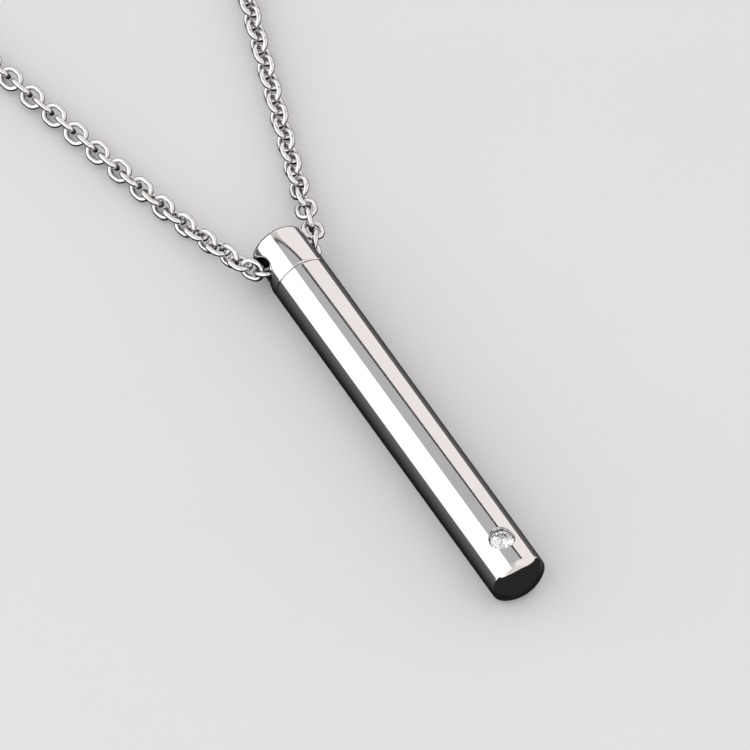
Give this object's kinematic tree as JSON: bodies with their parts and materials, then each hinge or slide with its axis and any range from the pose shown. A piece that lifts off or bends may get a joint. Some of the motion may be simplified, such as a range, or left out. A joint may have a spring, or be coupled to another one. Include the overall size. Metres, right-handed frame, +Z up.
{
  "type": "keepsake urn pendant",
  "caption": "Polished cylindrical bar pendant with a screw cap, a hollow chamber and a small clear stone, threaded on a fine cable chain necklace.",
  "frame": {"origin": "middle of the laid-out necklace's footprint, on the surface that it lies on", "axes": "+Y from the bar's lower end through the cap and on round the chain loop, +Z up out of the stone, +X to the right"},
  "size_m": [0.0966, 0.2556, 0.005],
  "materials": {
    "polished_steel": "mirror-polished stainless steel",
    "chain_steel": "bright tumbled stainless steel wire",
    "clear_stone": "clear faceted stone"
  },
  "bodies": {
    "cap_and_chain": {"cap": "polished_steel", "chain_front": "chain_steel", "chain_back": "chain_steel", "clasp": "chain_steel", "end_ring": "chain_steel"},
    "bar": {"body_tube": "polished_steel", "stone": "clear_stone"}
  },
  "joints": [
    {"name": "bar_unscrew", "type": "slide", "parent": "cap_and_chain", "child": "bar", "axis": [0, -1, 0], "range_m": [0, 0.008]}
  ]
}
